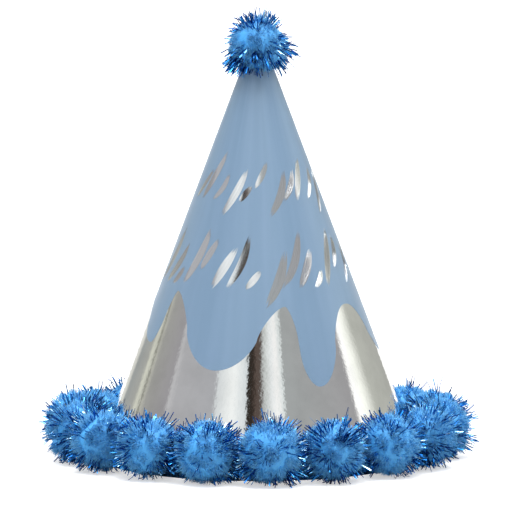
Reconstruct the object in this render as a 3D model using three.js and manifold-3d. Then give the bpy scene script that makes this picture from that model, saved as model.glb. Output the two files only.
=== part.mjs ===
// A cone party hat: a rolled card cone under a mirror foil laminate and a printed coat that ends in drips,
// with tinsel pompoms glued round the rim and one on the tip. Each pompom is tied round its core.
// Millimetres, +Z up. The origin is on the surface that the hat stands on, under its tip. The front faces -Y.

import * as THREE from "three";
import { mergeVertices } from "three/addons/utils/BufferGeometryUtils.js";
import Module from "manifold-3d";

const wasm = await Module();
wasm.setup();

// Cone, measured on the outside of the card
const rimRadius = 60;
const coneHeight = 160; // from the rim to the point where the lines of the wall meet
const tipHoleRadius = 3; // outside radius where the card is cut off below that point

// Plies of the wall and the glued seam down the back
const cardThickness = 0.35;
const foilThickness = 0.1;
const printThickness = 0.1;
const plyGap = 0.08;
const seamOverlap = 12; // width of the glue tab under the flap, along the rim
const seamRun = 9; // length, along the rim, over which the wall steps out beside the flap
const seamGlueLine = 0.1;
const flapMargin = 0.6; // foil and print start this far beside the flap's edge

// Lower edge of the printed coat: arches and drip tips in turn, by azimuth in degrees and height. A mark may also
// give the skew and steepness of the side that follows it.
const dripEdge = [
  [-90, 58], [-66, 45], [-54, 64.5], [-20, 38], [15.5, 60.5, 0.78, 0.45], [28.5, 32, 1.2], [58, 59.5, 1.1],
  [88, 40], [110, 60], [130, 30], [150, 62], [178, 42], [204, 59], [232, 34],
];
const dripSkew = 0.85; // below 1, a drip's side falls away sooner from the arch
const dripSteepness = 0.75; // below 1, a drip's side is steeper than a cosine's

// Holes for the chin elastic, one on each side
const elasticHoleRadius = 1.5;
const elasticHoleHeight = 9;

// Pompoms. The rim pompoms fill the rim, so their radius follows from their count.
const rimPompomCount = 18;
const firstPompomAzimuth = 4; // degrees from the front towards +X
const floorSquash = 1; // how far a rim pompom is pressed flat by the surface under it
const wallSquash = 0.8; // how far it is pressed flat against the cone
const neighbourSquash = 0.63; // how far it is pressed flat by each of its neighbours
const tipPompomRadius = 12.5;

// Ties and glue
const touchGap = 0.3; // between soft or glued pieces that touch
const waistRadius = 0.9; // fibres pinched together inside a tie
const threadRadius = 0.4;
const knotRadius = 0.65;
const cutPast = 1; // how far a socket's cutter runs past the face that it opens
const rimGlueRadius = 2;
const rimGlueMargin = 0.4; // how far the foot of a rim glue dot stays inside its pompom's flat
const rimGlueFootHeight = 1;
const tipGlueDepth = 6; // how far the glue plug fills the tip from inside
const tipGlueNeck = 0.95; // how far the glue plug stands out of the cut tip

// Facets
const wallFacets = 72;
const printFacets = 2 * wallFacets;
const ballDetail = 2;
const tubeFacets = 8;
const threadFacets = 4;
const socketFacets = 36;

const slope = Math.atan2(rimRadius, coneHeight); // half angle of the cone
const fullTurn = 2 * Math.PI;
const tipHeight = coneHeight - tipHoleRadius / Math.tan(slope);
const foilInner = plyGap;
const foilOuter = foilInner + foilThickness;
const printInner = foilOuter + plyGap;
const wallStack = printInner + printThickness; // card's outside to the print's outside
const seamLap = cardThickness + seamGlueLine; // how far the tab lies under the flap
const overlapTurn = seamOverlap / rimRadius;
const flapEdge = fullTurn + overlapTurn;
const seamBends = [overlapTurn, overlapTurn + seamRun / rimRadius];
const plyStart = overlapTurn + flapMargin / rimRadius;
const nearTurn = fullTurn / 7200; // facet lines nearer than this are one
const pompomPitch = fullTurn / rimPompomCount;

const card = new THREE.MeshStandardMaterial({ color: 0xf2f1ec, roughness: 0.8, metalness: 0 });
const mirrorFoil = new THREE.MeshStandardMaterial({ color: 0xc9c9c6, roughness: 0.12, metalness: 1 });
const blueInk = new THREE.MeshStandardMaterial({ color: 0x8ca8c4, roughness: 0.45, metalness: 0 });
const blueTinsel = new THREE.MeshStandardMaterial({ color: 0x3f87cf, roughness: 0.6, metalness: 0.1 });
const blueThread = new THREE.MeshStandardMaterial({ color: 0x1f5a9c, roughness: 0.9, metalness: 0 });
const hotGlue = new THREE.MeshStandardMaterial({ color: 0xe9e4d2, roughness: 0.4, metalness: 0 });

// The solid that a closed geometry bounds.
function solidOf(geometry) {
  const bare = new THREE.BufferGeometry();
  const source = geometry.index ? geometry.toNonIndexed() : geometry;
  bare.setAttribute("position", source.getAttribute("position").clone());
  const merged = mergeVertices(bare, 1e-4);
  return new wasm.Manifold(
    new wasm.Mesh({
      numProp: 3,
      vertProperties: merged.attributes.position.array,
      triVerts: new Uint32Array(merged.index.array),
    }),
  );
}

// A geometry with the faces of a solid.
function geometryOf(solid) {
  const { vertProperties, triVerts } = solid.getMesh();
  const geometry = new THREE.BufferGeometry();
  geometry.setAttribute("position", new THREE.BufferAttribute(vertProperties, 3));
  geometry.setIndex(new THREE.BufferAttribute(triVerts, 1));
  geometry.computeVertexNormals();
  return geometry;
}

function cut(geometry, ...tools) {
  return geometryOf(tools.reduce((solid, tool) => solid.subtract(solidOf(tool)), solidOf(geometry)));
}

function join(...geometries) {
  return geometryOf(geometries.map(solidOf).reduce((all, solid) => all.add(solid)));
}

function named(name, geometry, material) {
  const mesh = new THREE.Mesh(geometry, material);
  mesh.name = name;
  return mesh;
}

// Radius of the cone at a height, at a depth of `above` outside the card's outer face.
function wallRadius(height, above = 0) {
  return (coneHeight - height) * Math.tan(slope) + above / Math.cos(slope);
}

// Azimuth of a turn angle, so that the middle of the seam is at the back.
function azimuthOf(turn) {
  return Math.PI - overlapTurn / 2 + turn;
}

// The tab lies one lap inside the flap, and the wall steps out to the cone beside the flap's edge.
function seamDepth(turn) {
  const [start, end] = seamBends;
  const way = THREE.MathUtils.clamp((turn - start) / (end - start), 0, 1);
  return -seamLap * (1 - way);
}

function wallPoint(turn, height, above) {
  const azimuth = azimuthOf(turn);
  const radius = wallRadius(height, above + seamDepth(turn));
  return [radius * Math.sin(azimuth), -radius * Math.cos(azimuth), height];
}

// Turn angles of a ply's columns: its two ends and the facet lines between them, which are closer beside the seam,
// where every ply has the same ones.
function columnTurns(from, to, facetsPerTurn) {
  const lines = (step, start, end) =>
    Array.from({ length: Math.ceil(end / step) }, (_, k) => k * step).filter((turn) => turn > start);
  const all = [...lines(fullTurn / facetsPerTurn, from, to), ...lines(fullTurn / printFacets, ...seamBends)];
  const inside = [...all, ...seamBends, plyStart].filter((turn) => turn > from && turn < to);
  const sorted = [from, ...inside, to].sort((a, b) => a - b);
  return sorted.filter((turn, i) => i === 0 || turn - sorted[i - 1] > nearTurn);
}

// One ply of the wall, from one turn angle to another and from its inner face to its outer face.
// The diagonals of both faces run the same way, so that plies stay parallel where the seam twists them.
function rolledPly({ from, to, facets, inner, outer, lowEdge }) {
  const columns = columnTurns(from, to, facets).map((turn) => {
    const low = lowEdge(turn);
    return {
      innerLow: wallPoint(turn, low, inner),
      outerLow: wallPoint(turn, low, outer),
      outerHigh: wallPoint(turn, tipHeight, outer),
      innerHigh: wallPoint(turn, tipHeight, inner),
    };
  });
  const points = [];
  const quad = (a, b, c, d) => points.push(a, b, c, a, c, d);
  columns.slice(1).forEach((next, i) => {
    const here = columns[i];
    quad(here.outerLow, next.outerLow, next.outerHigh, here.outerHigh);
    quad(here.innerLow, here.innerHigh, next.innerHigh, next.innerLow);
    quad(here.innerLow, next.innerLow, next.outerLow, here.outerLow);
    quad(here.outerHigh, next.outerHigh, next.innerHigh, here.innerHigh);
  });
  const first = columns[0];
  const last = columns.at(-1);
  quad(first.innerLow, first.outerLow, first.outerHigh, first.innerHigh);
  quad(last.innerLow, last.innerHigh, last.outerHigh, last.outerLow);
  const geometry = new THREE.BufferGeometry();
  geometry.setAttribute("position", new THREE.Float32BufferAttribute(points.flat(), 3));
  return geometry;
}

// Height of the printed coat's lower edge, between the arch and the drip tip on either side of a turn angle.
function dripHeight(turn) {
  const start = dripEdge[0][0];
  const degrees = THREE.MathUtils.euclideanModulo(THREE.MathUtils.radToDeg(azimuthOf(turn)) - start, 360) + start;
  const ring = [...dripEdge, [start + 360, dripEdge[0][1]]];
  const next = ring.findIndex(([azimuth]) => azimuth > degrees);
  const [a, b] = [ring[next - 1], ring[next]];
  const [arch, tip] = a[1] > b[1] ? [a, b] : [b, a];
  const [, , skew = dripSkew, steepness = dripSteepness] = a;
  const way = Math.pow((degrees - arch[0]) / (tip[0] - arch[0]), skew);
  const side = Math.cos(Math.PI * way);
  const shaped = Math.sign(side) * Math.pow(Math.abs(side), steepness);
  return (arch[1] + tip[1]) / 2 + (shaped * (arch[1] - tip[1])) / 2;
}

// Cutters for the two elastic holes. They sit in the gaps between rim pompoms that are nearest to the sides.
function elasticHoles() {
  const reach = 6 * elasticHoleRadius;
  const gapsToSide = Math.round((Math.PI / 2 - THREE.MathUtils.degToRad(firstPompomAzimuth)) / pompomPitch - 0.5);
  const azimuth = THREE.MathUtils.degToRad(firstPompomAzimuth) + (gapsToSide + 0.5) * pompomPitch;
  return [azimuth, azimuth + Math.PI].map((side) => {
    const radius = wallRadius(elasticHoleHeight);
    return new THREE.CylinderGeometry(elasticHoleRadius, elasticHoleRadius, reach, tubeFacets)
      .rotateX(slope)
      .translate(0, -radius, elasticHoleHeight)
      .rotateZ(side);
  });
}

// Presses a ball's points flat where they lie past a plane.
function pressed(geometry, planes) {
  const points = geometry.getAttribute("position");
  const point = new THREE.Vector3();
  for (let i = 0; i < points.count; i++) {
    point.fromBufferAttribute(points, i);
    for (const plane of planes) {
      const past = plane.distanceToPoint(point);
      if (past > 0) point.addScaledVector(plane.normal, -past);
    }
    points.setXYZ(i, point.x, point.y, point.z);
  }
  return geometry;
}

// Pompom parts are made round the core at the origin, with the glue coming in along +Y.
const tieRing = waistRadius + touchGap + threadRadius;
const tieReach = tieRing + threadRadius;
const glueStart = tieRing + knotRadius + touchGap;

// A thread round the waist of the fibres, with its knot towards the glue.
function tie() {
  const ring = new THREE.TorusGeometry(tieRing, threadRadius, threadFacets, tubeFacets).rotateY(Math.PI / 2);
  const knot = new THREE.OctahedronGeometry(knotRadius).translate(0, tieRing, 0);
  return join(ring, knot);
}

// The room inside a pompom for its tie: a disc with the pinched fibres left standing through it.
function tieRoom() {
  const half = Math.max(threadRadius, knotRadius) + touchGap;
  const disc = new THREE.CylinderGeometry(tieReach + touchGap, tieReach + touchGap, 2 * half, tubeFacets);
  const waist = new THREE.CylinderGeometry(waistRadius, waistRadius, 3 * half, tubeFacets);
  return cut(disc, waist).rotateZ(Math.PI / 2);
}

// A lathe about +Y from [radius, distance] pairs that start and end on the axis.
function turned(profile, facets = tubeFacets) {
  return new THREE.LatheGeometry(profile.map(([radius, distance]) => new THREE.Vector2(radius, distance)), facets);
}

function fibreBall(radius) {
  return new THREE.IcosahedronGeometry(radius, ballDetail);
}

// Radius of the rim pompoms: half the chord between two cores, which lie on a ring that grows with this radius,
// is the radius less the squash.
function rimPompomRadius() {
  const halfChord = Math.sin(pompomPitch / 2); // for each unit of ring radius
  const ringBase = rimRadius + floorSquash * Math.tan(slope) + (foilOuter - wallSquash) / Math.cos(slope);
  const ringGrowth = 1 / Math.cos(slope) - Math.tan(slope);
  return (ringBase * halfChord + neighbourSquash) / (1 - ringGrowth * halfChord);
}

// A rim pompom with its tie and glue dot, pressed by the wall, the surface below and its two neighbours.
function rimPompom() {
  const radius = rimPompomRadius();
  const faceDistance = radius - wallSquash; // core to the foil's outside, square to the wall
  const footDistance = faceDistance - touchGap - rimGlueFootHeight;
  const footRadius = Math.sqrt(radius ** 2 - faceDistance ** 2) - rimGlueMargin;
  const coreHeight = radius - floorSquash;
  const ringRadius = wallRadius(coreHeight, foilOuter + faceDistance);
  const core = new THREE.Matrix4()
    .makeRotationX(-slope)
    .setPosition(0, -ringRadius, coreHeight);
  const home = core.clone().invert();
  const wall = new THREE.Plane(new THREE.Vector3(0, 1, 0), touchGap - faceDistance);
  const floor = new THREE.Plane(new THREE.Vector3(0, 0, -1), 0).applyMatrix4(home);
  const neighbours = [-1, 1].map((side) => {
    const normal = new THREE.Vector3(side * Math.cos(pompomPitch / 2), Math.sin(pompomPitch / 2), 0);
    return new THREE.Plane(normal, touchGap / 2).applyMatrix4(home);
  });
  const socket = turned([
    [0, tieReach],
    [rimGlueRadius + touchGap, tieReach],
    [rimGlueRadius + touchGap, footDistance - touchGap],
    [footRadius + touchGap, footDistance - touchGap],
    [footRadius + touchGap, faceDistance + cutPast],
    [0, faceDistance + cutPast],
  ]);
  const ball = cut(pressed(fibreBall(radius), [...neighbours, wall, floor]), tieRoom(), socket);
  const glue = turned([
    [0, glueStart],
    [rimGlueRadius, glueStart],
    [rimGlueRadius, footDistance],
    [footRadius, footDistance + rimGlueFootHeight / 2],
    [footRadius, faceDistance - touchGap],
    [0, faceDistance - touchGap],
  ]);
  return { core, ball, glue };
}

// The tip pompom: its socket fits over the cone, and its glue plug comes up through the hole in the tip.
function tipPompom() {
  const coreHeight = tipHeight + tipGlueNeck + glueStart;
  const below = (height) => coreHeight - height; // distance from the core along +Y for a height on the hat
  const neck = wallRadius(tipHeight, -cardThickness - seamLap) - touchGap;
  const coneGap = wallStack + touchGap;
  const capHeight = tipHeight + touchGap;
  const openHeight = coreHeight - tipPompomRadius - cutPast;
  const socketProfile = [
    [0, tieReach],
    [neck + touchGap, tieReach],
    [neck + touchGap, below(capHeight)],
    [wallRadius(capHeight, coneGap), below(capHeight)],
    [wallRadius(openHeight, coneGap), below(openHeight)],
    [0, below(openHeight)],
  ];
  const socket = turned(socketProfile, socketFacets);
  const plugHeight = tipHeight - tipGlueDepth;
  const glue = turned([
    [0, glueStart],
    [neck, glueStart],
    [neck, below(tipHeight)],
    [wallRadius(plugHeight, -cardThickness - seamLap) - touchGap, below(plugHeight)],
    [0, below(plugHeight)],
  ]);
  const core = new THREE.Matrix4().makeRotationX(-Math.PI / 2).setPosition(0, 0, coreHeight);
  return { core, ball: cut(fibreBall(tipPompomRadius), tieRoom(), socket), glue };
}

function cone() {
  const level = () => 0;
  const holes = elasticHoles();
  const cardPly = rolledPly({
    from: 0, to: flapEdge, facets: wallFacets, inner: -cardThickness, outer: 0, lowEdge: level,
  });
  const foilPly = rolledPly({
    from: plyStart, to: flapEdge, facets: wallFacets, inner: foilInner, outer: foilOuter, lowEdge: level,
  });
  const printPly = rolledPly({
    from: plyStart,
    to: flapEdge,
    facets: printFacets,
    inner: printInner,
    outer: wallStack,
    lowEdge: dripHeight,
  });
  const group = new THREE.Group();
  group.add(named("cone_card", cut(cardPly, ...holes), card));
  group.add(named("foil_laminate", cut(foilPly, ...holes), mirrorFoil));
  group.add(named("printed_drip_coat", printPly, blueInk));
  return group;
}

// One pompom with its tie and glue, in a group placed at its core.
function pompomGroup({ core, ball, glue }, thread, names) {
  const group = new THREE.Group();
  group.add(named(names.pompom, ball, blueTinsel));
  group.add(named(names.tie, thread, blueThread));
  group.add(named(names.glue, glue, hotGlue));
  group.applyMatrix4(core);
  return group;
}

const hat = new THREE.Group();
const thread = tie();
hat.add(cone());

const rimParts = rimPompom();
for (let i = 0; i < rimPompomCount; i++) {
  const number = String(i + 1).padStart(2, "0");
  const station = new THREE.Group();
  station.add(
    pompomGroup(rimParts, thread, {
      pompom: `rim_pompom_${number}`,
      tie: `rim_pompom_tie_${number}`,
      glue: `rim_glue_dot_${number}`,
    }),
  );
  station.rotation.z = THREE.MathUtils.degToRad(firstPompomAzimuth) + i * pompomPitch;
  hat.add(station);
}

hat.add(pompomGroup(tipPompom(), thread, { pompom: "tip_pompom", tie: "tip_pompom_tie", glue: "tip_glue_plug" }));

export default hat;
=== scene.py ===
"""Looks of a cone party hat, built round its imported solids.

The hat is a rolled card cone. Its outside is a mirror film with a printed coat over it that ends in drips,
and two rows of stamped foil brush strokes. Tinsel pompoms are glued round the rim and on the tip. Metres, +Z
up, front -Y.
"""

import logging
import math
from collections.abc import Callable
from dataclasses import dataclass, field
from enum import Enum
from itertools import cycle

import bpy
import numpy as np
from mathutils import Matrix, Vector


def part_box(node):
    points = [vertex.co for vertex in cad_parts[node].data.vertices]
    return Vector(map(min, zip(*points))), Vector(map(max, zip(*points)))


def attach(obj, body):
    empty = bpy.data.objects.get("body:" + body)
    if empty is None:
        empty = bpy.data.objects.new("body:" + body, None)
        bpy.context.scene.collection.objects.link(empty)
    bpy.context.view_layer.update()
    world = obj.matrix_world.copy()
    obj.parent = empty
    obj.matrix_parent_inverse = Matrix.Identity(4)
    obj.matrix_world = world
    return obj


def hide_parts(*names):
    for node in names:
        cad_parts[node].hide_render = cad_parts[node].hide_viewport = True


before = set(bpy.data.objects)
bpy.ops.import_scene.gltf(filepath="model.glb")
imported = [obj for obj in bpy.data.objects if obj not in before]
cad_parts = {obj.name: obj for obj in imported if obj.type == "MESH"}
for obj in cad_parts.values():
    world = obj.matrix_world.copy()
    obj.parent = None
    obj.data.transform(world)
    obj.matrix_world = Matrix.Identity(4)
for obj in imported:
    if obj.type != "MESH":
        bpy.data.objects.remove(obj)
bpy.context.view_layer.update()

LOG = logging.getLogger("party_hat")
MM = 0.001
TINY = 1e-12  # keeps a vector without length from being divided by zero
STRAND_MAP = "OFBake"  # the map along and across each strand, which its colours are drawn on
PLY_MAP = "UVMap"  # the map along the rim and up the wall of each ply


# -------------------------------------------------------------------------------------------------------
# Small tools
# -------------------------------------------------------------------------------------------------------


def linear(colour: str) -> tuple[float, float, float, float]:
    """Turns an sRGB hex colour into the linear colour that a shader takes.

    Args:
        colour: Six hex digits, such as "8ca8c4".

    Returns:
        Red, green, blue and an alpha of 1.
    """
    parts = [int(colour[i : i + 2], 16) / 255 for i in (0, 2, 4)]
    red, green, blue = [p / 12.92 if p <= 0.04045 else ((p + 0.055) / 1.055) ** 2.4 for p in parts]
    return red, green, blue, 1.0


def add_node(
    tree: bpy.types.NodeTree,
    kind: str,
    inputs: dict | None = None,
    stops: dict | None = None,
    **settings: object,
) -> bpy.types.Node:
    """Adds one shader node with its settings, values and links.

    Args:
        tree: The node tree that it goes in.
        kind: The node's Blender type.
        inputs: For each input's name or number, a value or the output socket that feeds it.
        stops: For a colour ramp, the colour at each place from 0 to 1.
        settings: The node's own properties.

    Returns:
        The new node.
    """
    made = tree.nodes.new(kind)
    for name, value in settings.items():
        setattr(made, name, value)
    for name, value in (inputs or {}).items():
        if isinstance(value, bpy.types.NodeSocket):
            tree.links.new(value, made.inputs[name])
        else:
            made.inputs[name].default_value = value
    for i, (place, colour) in enumerate(sorted((stops or {}).items())):
        elements = made.color_ramp.elements
        stop = elements[i] if i < 2 else elements.new(place)
        stop.position = place
        stop.color = colour
    return made


def new_material(name: str) -> tuple[bpy.types.Material, bpy.types.NodeTree]:
    """Makes a material without nodes.

    Args:
        name: Its name.

    Returns:
        The material and its node tree.
    """
    material = bpy.data.materials.new(name)
    material.use_nodes = True
    tree = material.node_tree
    tree.nodes.clear()
    return material, tree


def show(tree: bpy.types.NodeTree, shader: bpy.types.Node) -> None:
    """Sends a shader node to the material's output."""
    output = add_node(tree, "ShaderNodeOutputMaterial")
    tree.links.new(shader.outputs[0], output.inputs["Surface"])


def deselect_all() -> None:
    """Leaves object mode with nothing selected, so that an operator acts only on what comes next."""
    if bpy.context.object and bpy.context.object.mode != "OBJECT":
        bpy.ops.object.mode_set(mode="OBJECT")
    bpy.ops.object.select_all(action="DESELECT")


def pick(*pieces: bpy.types.Object) -> bpy.types.Object:
    """Selects some objects and nothing else.

    Args:
        pieces: The objects, with the one to be made active last.

    Returns:
        The active object.
    """
    deselect_all()
    for piece in pieces:
        piece.select_set(True)
    bpy.context.view_layer.objects.active = pieces[-1]
    return pieces[-1]


def apply_modifier(piece: bpy.types.Object, kind: str, **settings: object) -> None:
    """Gives a piece a modifier and applies it at once.

    Args:
        piece: The piece.
        kind: The modifier's Blender type.
        settings: The modifier's own properties.
    """
    pick(piece)
    modifier = piece.modifiers.new(kind.title(), kind)
    for name, value in settings.items():
        setattr(modifier, name, value)
    bpy.ops.object.modifier_apply(modifier=modifier.name)


def points_of(mesh: bpy.types.Mesh) -> np.ndarray:
    """Reads where a mesh's vertices are.

    Args:
        mesh: The mesh.

    Returns:
        Rows of x, y and z.
    """
    found = np.empty(len(mesh.vertices) * 3, np.float32)
    mesh.vertices.foreach_get("co", found)
    return found.reshape(-1, 3).astype(float)


def move_points(mesh: bpy.types.Mesh, points: np.ndarray) -> None:
    """Puts the mesh's vertices at these rows of x, y and z."""
    mesh.vertices.foreach_set("co", points.astype(np.float32).ravel())
    mesh.update()


def finish_piece(
    piece: bpy.types.Object, material: bpy.types.Material, replaced: tuple = ()
) -> None:
    """Names a piece's finish and body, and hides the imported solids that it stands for.

    Args:
        piece: The finished object, which sits at the origin.
        material: Its only material.
        replaced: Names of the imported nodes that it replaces.
    """
    piece.data.materials.clear()
    piece.data.materials.append(material)
    if replaced:
        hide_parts(*replaced)
    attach(piece, "root")
    LOG.info("%s: %d faces", piece.name, len(piece.data.polygons))


def unit(vectors: np.ndarray) -> np.ndarray:
    """Scales vectors in the last axis to a length of 1."""
    return vectors / np.maximum(np.linalg.norm(vectors, axis=-1, keepdims=True), TINY)


# -------------------------------------------------------------------------------------------------------
# Finishes
# -------------------------------------------------------------------------------------------------------


@dataclass(frozen=True)
class FoldingBoard:
    """White folding boxboard, uncoated inside: a matt sheet, faintly clouded, with fine felted fibres."""

    face: str = "f3f1ea"
    cloud: str = "e2dfd5"
    formation: float = 7 * MM  # size of the light and dark clouds in the sheet
    fibre: float = 0.9 * MM  # length of the felted fibres, drawn about twice as coarse so that they show
    fibre_height: float = 0.05 * MM
    matt: float = 0.82  # roughness of bare board

    def material(self) -> bpy.types.Material:
        """Mixes the clouds into the colour, and raises the fibres a little."""
        material, tree = new_material("white_folding_board")
        place = add_node(tree, "ShaderNodeTexCoord").outputs["Object"]
        clouds = add_node(
            tree, "ShaderNodeTexNoise", {"Vector": place, "Scale": 1 / self.formation, "Detail": 4.0}
        )
        felt = add_node(tree, "ShaderNodeTexNoise", {"Vector": place, "Scale": 1 / self.fibre, "Detail": 3.0})
        both = add_node(
            tree, "ShaderNodeMath", {0: clouds.outputs["Fac"], 1: felt.outputs["Fac"]}, operation="MULTIPLY"
        )
        colour = add_node(
            tree,
            "ShaderNodeValToRGB",
            {"Fac": both.outputs[0]},
            stops={0.12: linear(self.cloud), 0.36: linear(self.face)},
        )
        bump = add_node(
            tree,
            "ShaderNodeBump",
            {"Height": felt.outputs["Fac"], "Strength": 0.35, "Distance": self.fibre_height},
        )
        shader = add_node(
            tree,
            "ShaderNodeBsdfPrincipled",
            {
                "Base Color": colour.outputs["Color"],
                "Roughness": self.matt,
                "IOR": 1.5,
                "Specular IOR Level": 0.3,
                "Normal": bump.outputs["Normal"],
            },
        )
        show(tree, shader)
        return material


@dataclass(frozen=True)
class MirrorFilm:
    """Vacuum metallised polyester film, laminated on board.

    It gives sharp streaks of the studio along the cone's lines. The board under it telegraphs through as a
    fine orange peel that frays the edges of those streaks, and rolling leaves long soft ripples beside them.
    """

    silver: str = "f3f3f1"
    smear: str = "e6e6e4"
    smear_size: float = 9 * MM  # of the dull patches that fingers leave
    dulling: float = 2.2  # how much rougher the film is in those patches
    peel: float = 1.3 * MM  # grain of the board that shows through the film
    ripple: float = 5 * MM  # spacing of the soft ripples along the rim
    streak_length: float = 60 * MM
    gloss: float = 0.035
    peel_height: float = 0.021 * MM
    ripple_height: float = 0.012 * MM

    def material(self) -> bpy.types.Material:
        """Bumps the mirror with peel and ripples, and clouds its gloss where it has been handled."""
        material, tree = new_material("silver_mirror_film")
        place = add_node(tree, "ShaderNodeTexCoord").outputs["Object"]
        sheet = add_node(tree, "ShaderNodeUVMap", uv_map=PLY_MAP).outputs["UV"]
        long_way = add_node(
            tree,
            "ShaderNodeMapping",
            {"Vector": sheet, "Scale": (Wall.girth() / self.ripple, Wall.length() / self.streak_length, 1.0)},
        )
        ripples = add_node(
            tree, "ShaderNodeTexNoise", {"Vector": long_way.outputs["Vector"], "Scale": 1.0, "Detail": 1.0}
        )
        peel = add_node(tree, "ShaderNodeTexNoise", {"Vector": place, "Scale": 1 / self.peel, "Detail": 1.0})
        smears = add_node(
            tree, "ShaderNodeTexNoise", {"Vector": place, "Scale": 1 / self.smear_size, "Detail": 5.0}
        )
        waved = add_node(
            tree,
            "ShaderNodeBump",
            {"Height": ripples.outputs["Fac"], "Strength": 1.0, "Distance": self.ripple_height},
        )
        bumped = add_node(
            tree,
            "ShaderNodeBump",
            {
                "Height": peel.outputs["Fac"],
                "Strength": 1.0,
                "Distance": self.peel_height,
                "Normal": waved.outputs["Normal"],
            },
        )
        gloss = add_node(
            tree,
            "ShaderNodeMapRange",
            {
                "Value": smears.outputs["Fac"],
                "From Min": 0.35,
                "From Max": 0.75,
                "To Min": self.gloss,
                "To Max": self.dulling * self.gloss,
            },
        )
        colour = add_node(
            tree,
            "ShaderNodeValToRGB",
            {"Fac": smears.outputs["Fac"]},
            stops={0.4: linear(self.silver), 0.8: linear(self.smear)},
        )
        shader = add_node(
            tree,
            "ShaderNodeBsdfPrincipled",
            {
                "Base Color": colour.outputs["Color"],
                "Metallic": 1.0,
                "Roughness": gloss.outputs["Result"],
                "Normal": bumped.outputs["Normal"],
            },
        )
        show(tree, shader)
        return material


@dataclass(frozen=True)
class StampedFoil:
    """Hot stamped aluminium foil, laid down in the strokes of a dry brush.

    It mirrors the studio more softly than the film does, and each bristle's line takes the light a little
    differently.
    """

    silver: str = "f4f5f5"
    shade: str = "dfe1e4"
    grain: float = 0.6 * MM  # of the varnish under the foil
    grain_height: float = 0.008 * MM
    lots: float = 60.0  # how many kinds of bristle line there are
    brightest: float = 0.07  # roughness of the smoothest and of the dullest lines
    dullest: float = 0.2

    def material(self) -> bpy.types.Material:
        """Shades the foil and its gloss bristle by bristle, and grains it."""
        material, tree = new_material("stamped_silver_foil")
        place = add_node(tree, "ShaderNodeTexCoord").outputs["Object"]
        sheet = add_node(tree, "ShaderNodeUVMap", uv_map=STRAND_MAP).outputs["UV"]
        parts = add_node(tree, "ShaderNodeSeparateXYZ", {"Vector": sheet})
        lot = add_node(
            tree, "ShaderNodeTexNoise", {"W": parts.outputs["Y"], "Scale": self.lots}, noise_dimensions="1D"
        )
        grain = add_node(
            tree, "ShaderNodeTexNoise", {"Vector": place, "Scale": 1 / self.grain, "Detail": 2.0}
        )
        colour = add_node(
            tree,
            "ShaderNodeValToRGB",
            {"Fac": lot.outputs["Fac"]},
            stops={0.3: linear(self.shade), 0.6: linear(self.silver)},
        )
        gloss = add_node(
            tree,
            "ShaderNodeMapRange",
            {"Value": lot.outputs["Fac"], "To Min": self.brightest, "To Max": self.dullest},
        )
        bump = add_node(
            tree,
            "ShaderNodeBump",
            {"Height": grain.outputs["Fac"], "Strength": 1.0, "Distance": self.grain_height},
        )
        shader = add_node(
            tree,
            "ShaderNodeBsdfPrincipled",
            {
                "Base Color": colour.outputs["Color"],
                "Metallic": 1.0,
                "Roughness": gloss.outputs["Result"],
                "Normal": bump.outputs["Normal"],
            },
        )
        show(tree, shader)
        return material


@dataclass(frozen=True)
class PrintedCoat:
    """Offset ink with a satin varnish over metallised film.

    The ink is nearly opaque, so it shows its own light blue with a soft broad gloss, and a little of the
    film's streaks glows through it. The rollers leave faint streaks down the sheet.
    """

    ink: str = "6b87a1"
    thin_ink: str = "718ca7"
    streak: float = 7 * MM  # spacing of the faint streaks that the rollers leave down the sheet
    streak_length: float = 90 * MM
    screen: float = 0.7 * MM  # grain of the varnish, drawn coarser than a print screen so that it shows
    film_glow: float = 0.15  # share of the surface's reflection that is the film's under the ink
    varnish: float = 0.9
    satin: float = 0.38  # roughness of the varnish

    def material(self) -> bpy.types.Material:
        """Streaks the ink, and gives its varnish a fine grain."""
        material, tree = new_material("blue_printed_coat")
        place = add_node(tree, "ShaderNodeTexCoord").outputs["Object"]
        sheet = add_node(tree, "ShaderNodeUVMap", uv_map=PLY_MAP).outputs["UV"]
        long_way = add_node(
            tree,
            "ShaderNodeMapping",
            {"Vector": sheet, "Scale": (Wall.girth() / self.streak, Wall.length() / self.streak_length, 1.0)},
        )
        streaks = add_node(
            tree, "ShaderNodeTexNoise", {"Vector": long_way.outputs["Vector"], "Scale": 1.0, "Detail": 3.0}
        )
        grain = add_node(
            tree, "ShaderNodeTexNoise", {"Vector": place, "Scale": 1 / self.screen, "Detail": 2.0}
        )
        colour = add_node(
            tree,
            "ShaderNodeValToRGB",
            {"Fac": streaks.outputs["Fac"]},
            stops={0.3: linear(self.ink), 0.75: linear(self.thin_ink)},
        )
        gloss = add_node(
            tree, "ShaderNodeMapRange", {"Value": grain.outputs["Fac"], "To Min": 0.34, "To Max": 0.44}
        )
        bump = add_node(
            tree, "ShaderNodeBump", {"Height": grain.outputs["Fac"], "Strength": 0.5, "Distance": 0.01 * MM}
        )
        shader = add_node(
            tree,
            "ShaderNodeBsdfPrincipled",
            {
                "Base Color": colour.outputs["Color"],
                "Metallic": self.film_glow,
                "Roughness": gloss.outputs["Result"],
                "IOR": 1.5,
                "Coat Weight": self.varnish,
                "Coat Roughness": self.satin,
                "Normal": bump.outputs["Normal"],
            },
        )
        show(tree, shader)
        return material


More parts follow.
